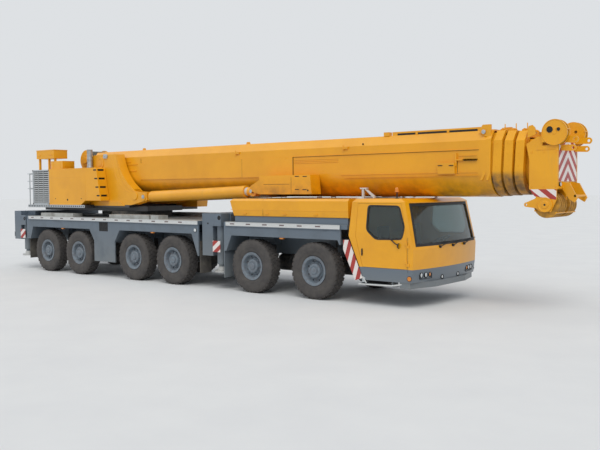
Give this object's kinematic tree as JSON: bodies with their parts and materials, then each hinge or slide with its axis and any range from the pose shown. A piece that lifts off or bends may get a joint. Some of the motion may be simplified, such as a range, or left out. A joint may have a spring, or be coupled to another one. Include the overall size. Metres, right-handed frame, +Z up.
{
  "type": "six-axle mobile crane",
  "caption": "All-terrain mobile crane on wheels: low cab, outriggers, slewing superstructure and a telescopic boom laid forward over the cab.",
  "frame": {"origin": "on the ground under the middle of the travel outline", "axes": "+X forward along the boom, +Y to the machine's left, +Z up"},
  "size_m": [19, 3, 4.0068],
  "materials": {
    "paint_yellow": "gloss",
    "paint_grey": "satin",
    "deck_grey": "satin",
    "cast_steel": "satin",
    "bright_steel": "polished rod",
    "tyre": "worn tread",
    "glass": "tinted",
    "seat_cloth": "woven",
    "aluminium": "mill finish",
    "engine_iron": "painted"
  },
  "bodies": {
    "carrier": {"chassis_frame": "paint_grey", "deck_and_fenders": "deck_grey", "axle_housings": "cast_steel", "engine_hood": "paint_yellow", "carrier_engine": "engine_iron", "cab_shell": "paint_yellow", "cab_windscreen": "glass", "cab_interior": "seat_cloth", "bumper_and_steps": "paint_grey", "boom_rest": "paint_grey", "slewing_ring": "cast_steel"},
    "cab_door_left": {"cab_door_left": "paint_yellow", "cab_door_glass_left": "glass"},
    "cab_door_right": {"cab_door_right": "paint_yellow", "cab_door_glass_right": "glass"},
    "knuckle_left_one": {"knuckle_left_one": "cast_steel"},
    "wheel_left_one": {"wheel_left_one": "tyre"},
    "knuckle_right_one": {"knuckle_right_one": "cast_steel"},
    "wheel_right_one": {"wheel_right_one": "tyre"},
    "knuckle_left_two": {"knuckle_left_two": "cast_steel"},
    "wheel_left_two": {"wheel_left_two": "tyre"},
    "knuckle_right_two": {"knuckle_right_two": "cast_steel"},
    "wheel_right_two": {"wheel_right_two": "tyre"},
    "knuckle_left_three": {"knuckle_left_three": "cast_steel"},
    "wheel_left_three": {"wheel_left_three": "tyre"},
    "knuckle_right_three": {"knuckle_right_three": "cast_steel"},
    "wheel_right_three": {"wheel_right_three": "tyre"},
    "wheel_left_four": {"wheel_left_four": "tyre"},
    "wheel_right_four": {"wheel_right_four": "tyre"},
    "knuckle_left_five": {"knuckle_left_five": "cast_steel"},
    "wheel_left_five": {"wheel_left_five": "tyre"},
    "knuckle_right_five": {"knuckle_right_five": "cast_steel"},
    "wheel_right_five": {"wheel_right_five": "tyre"},
    "knuckle_left_six": {"knuckle_left_six": "cast_steel"},
    "wheel_left_six": {"wheel_left_six": "tyre"},
    "knuckle_right_six": {"knuckle_right_six": "cast_steel"},
    "wheel_right_six": {"wheel_right_six": "tyre"},
    "outrigger_beam_front_left": {"outrigger_beam_front_left": "paint_grey"},
    "outrigger_jack_front_left": {"outrigger_jack_front_left": "bright_steel"},
    "outrigger_beam_front_right": {"outrigger_beam_front_right": "paint_grey"},
    "outrigger_jack_front_right": {"outrigger_jack_front_right": "bright_steel"},
    "outrigger_beam_rear_left": {"outrigger_beam_rear_left": "paint_grey"},
    "outrigger_jack_rear_left": {"outrigger_jack_rear_left": "bright_steel"},
    "outrigger_beam_rear_right": {"outrigger_beam_rear_right": "paint_grey"},
    "outrigger_jack_rear_right": {"outrigger_jack_rear_right": "bright_steel"},
    "superstructure": {"superstructure_frame": "paint_yellow", "engine_houses": "paint_yellow", "winch_and_rails": "cast_steel", "crane_cab_shell": "paint_yellow", "crane_cab_glass": "glass", "crane_cab_seat": "seat_cloth"},
    "crane_cab_door": {"crane_cab_door": "paint_yellow"},
    "boom": {"boom_base": "paint_yellow"},
    "luffing_barrels": {"luffing_barrels": "paint_yellow"},
    "luffing_rods": {"luffing_rods": "bright_steel"},
    "boom_section_1": {"boom_section_1": "paint_yellow"},
    "boom_section_2": {"boom_section_2": "paint_yellow"},
    "boom_section_3": {"boom_section_3": "paint_yellow"},
    "boom_section_4": {"boom_section_4_with_head": "paint_yellow", "head_sheaves": "cast_steel"}
  },
  "joints": [
    {"name": "cab_door_left_hinge", "type": "hinge", "parent": "carrier", "child": "cab_door_left", "pos_m": [6.192, 1.4905, 1.2], "axis": [0, 0, -1], "range_deg": [0, 70]},
    {"name": "cab_door_right_hinge", "type": "hinge", "parent": "carrier", "child": "cab_door_right", "pos_m": [6.192, -1.4905, 1.2], "axis": [0, 0, 1], "range_deg": [0, 70]},
    {"name": "steer_left_one", "type": "hinge", "parent": "carrier", "child": "knuckle_left_one", "pos_m": [3.6, 1.15, 0.685], "axis": [0, 0, 1], "range_deg": [-25, 25]},
    {"name": "spin_left_one", "type": "hinge", "parent": "knuckle_left_one", "child": "wheel_left_one", "pos_m": [3.6, 1.29, 0.685], "axis": [0, 1, 0], "continuous": true},
    {"name": "steer_right_one", "type": "hinge", "parent": "carrier", "child": "knuckle_right_one", "pos_m": [3.6, -1.15, 0.685], "axis": [0, 0, 1], "range_deg": [-25, 25]},
    {"name": "spin_right_one", "type": "hinge", "parent": "knuckle_right_one", "child": "wheel_right_one", "pos_m": [3.6, -1.29, 0.685], "axis": [0, 1, 0], "continuous": true},
    {"name": "steer_left_two", "type": "hinge", "parent": "carrier", "child": "knuckle_left_two", "pos_m": [1.6, 1.15, 0.685], "axis": [0, 0, 1], "range_deg": [-25, 25]},
    {"name": "spin_left_two", "type": "hinge", "parent": "knuckle_left_two", "child": "wheel_left_two", "pos_m": [1.6, 1.29, 0.685], "axis": [0, 1, 0], "continuous": true},
    {"name": "steer_right_two", "type": "hinge", "parent": "carrier", "child": "knuckle_right_two", "pos_m": [1.6, -1.15, 0.685], "axis": [0, 0, 1], "range_deg": [-25, 25]},
    {"name": "spin_right_two", "type": "hinge", "parent": "knuckle_right_two", "child": "wheel_right_two", "pos_m": [1.6, -1.29, 0.685], "axis": [0, 1, 0], "continuous": true},
    {"name": "steer_left_three", "type": "hinge", "parent": "carrier", "child": "knuckle_left_three", "pos_m": [-1.4, 1.15, 0.685], "axis": [0, 0, 1], "range_deg": [-25, 25]},
    {"name": "spin_left_three", "type": "hinge", "parent": "knuckle_left_three", "child": "wheel_left_three", "pos_m": [-1.4, 1.29, 0.685], "axis": [0, 1, 0], "continuous": true},
    {"name": "steer_right_three", "type": "hinge", "parent": "carrier", "child": "knuckle_right_three", "pos_m": [-1.4, -1.15, 0.685], "axis": [0, 0, 1], "range_deg": [-25, 25]},
    {"name": "spin_right_three", "type": "hinge", "parent": "knuckle_right_three", "child": "wheel_right_three", "pos_m": [-1.4, -1.29, 0.685], "axis": [0, 1, 0], "continuous": true},
    {"name": "spin_left_four", "type": "hinge", "parent": "carrier", "child": "wheel_left_four", "pos_m": [-3.1, 1.29, 0.685], "axis": [0, 1, 0], "continuous": true},
    {"name": "spin_right_four", "type": "hinge", "parent": "carrier", "child": "wheel_right_four", "pos_m": [-3.1, -1.29, 0.685], "axis": [0, 1, 0], "continuous": true},
    {"name": "steer_left_five", "type": "hinge", "parent": "carrier", "child": "knuckle_left_five", "pos_m": [-5.8, 1.15, 0.685], "axis": [0, 0, 1], "range_deg": [-25, 25]},
    {"name": "spin_left_five", "type": "hinge", "parent": "knuckle_left_five", "child": "wheel_left_five", "pos_m": [-5.8, 1.29, 0.685], "axis": [0, 1, 0], "continuous": true},
    {"name": "steer_right_five", "type": "hinge", "parent": "carrier", "child": "knuckle_right_five", "pos_m": [-5.8, -1.15, 0.685], "axis": [0, 0, 1], "range_deg": [-25, 25]},
    {"name": "spin_right_five", "type": "hinge", "parent": "knuckle_right_five", "child": "wheel_right_five", "pos_m": [-5.8, -1.29, 0.685], "axis": [0, 1, 0], "continuous": true},
    {"name": "steer_left_six", "type": "hinge", "parent": "carrier", "child": "knuckle_left_six", "pos_m": [-7.5, 1.15, 0.685], "axis": [0, 0, 1], "range_deg": [-25, 25]},
    {"name": "spin_left_six", "type": "hinge", "parent": "knuckle_left_six", "child": "wheel_left_six", "pos_m": [-7.5, 1.29, 0.685], "axis": [0, 1, 0], "continuous": true},
    {"name": "steer_right_six", "type": "hinge", "parent": "carrier", "child": "knuckle_right_six", "pos_m": [-7.5, -1.15, 0.685], "axis": [0, 0, 1], "range_deg": [-25, 25]},
    {"name": "spin_right_six", "type": "hinge", "parent": "knuckle_right_six", "child": "wheel_right_six", "pos_m": [-7.5, -1.29, 0.685], "axis": [0, 1, 0], "continuous": true},
    {"name": "extend_front_left", "type": "slide", "parent": "carrier", "child": "outrigger_beam_front_left", "axis": [0, 1, 0], "range_m": [0, 2.1]},
    {"name": "lower_front_left", "type": "slide", "parent": "outrigger_beam_front_left", "child": "outrigger_jack_front_left", "axis": [0, 0, -1], "range_m": [0, 0.6]},
    {"name": "extend_front_right", "type": "slide", "parent": "carrier", "child": "outrigger_beam_front_right", "axis": [0, -1, 0], "range_m": [0, 2.1]},
    {"name": "lower_front_right", "type": "slide", "parent": "outrigger_beam_front_right", "child": "outrigger_jack_front_right", "axis": [0, 0, -1], "range_m": [0, 0.6]},
    {"name": "extend_rear_left", "type": "slide", "parent": "carrier", "child": "outrigger_beam_rear_left", "axis": [0, 1, 0], "range_m": [0, 2.1]},
    {"name": "lower_rear_left", "type": "slide", "parent": "outrigger_beam_rear_left", "child": "outrigger_jack_rear_left", "axis": [0, 0, -1], "range_m": [0, 0.6]},
    {"name": "extend_rear_right", "type": "slide", "parent": "carrier", "child": "outrigger_beam_rear_right", "axis": [0, -1, 0], "range_m": [0, 2.1]},
    {"name": "lower_rear_right", "type": "slide", "parent": "outrigger_beam_rear_right", "child": "outrigger_jack_rear_right", "axis": [0, 0, -1], "range_m": [0, 0.6]},
    {"name": "slew", "type": "hinge", "parent": "carrier", "child": "superstructure", "pos_m": [-4.45, 0, 2], "axis": [0, 0, 1], "continuous": true},
    {"name": "crane_cab_door_slide", "type": "slide", "parent": "superstructure", "child": "crane_cab_door", "axis": [-1, 0, 0], "range_m": [0, 0.48]},
    {"name": "luff", "type": "hinge", "parent": "superstructure", "child": "boom", "pos_m": [-5.3, 0, 3.5], "axis": [0, -1, 0], "range_deg": [0, 82]},
    {"name": "barrel_tilt", "type": "hinge", "parent": "superstructure", "child": "luffing_barrels", "pos_m": [-3.23, 0, 2.44], "axis": [0, -1, 0], "range_deg": [-0.5, 91]},
    {"name": "rod_slide", "type": "slide", "parent": "luffing_barrels", "child": "luffing_rods", "axis": [0.9994, 0, 0.0342], "range_m": [-0.01, 2.96]},
    {"name": "telescope_1", "type": "slide", "parent": "boom", "child": "boom_section_1", "axis": [1, 0, 0], "range_m": [0, 10.5]},
    {"name": "telescope_2", "type": "slide", "parent": "boom_section_1", "child": "boom_section_2", "axis": [1, 0, 0], "range_m": [0, 10.5]},
    {"name": "telescope_3", "type": "slide", "parent": "boom_section_2", "child": "boom_section_3", "axis": [1, 0, 0], "range_m": [0, 10.5]},
    {"name": "telescope_4", "type": "slide", "parent": "boom_section_3", "child": "boom_section_4", "axis": [1, 0, 0], "range_m": [0, 10.5]}
  ],
  "couplings": [
    {"joint": "barrel_tilt", "follows": "luff", "ratio": 1.0995},
    {"joint": "rod_slide", "follows": "luff", "m_per_rad": 2.0564}
  ]
}
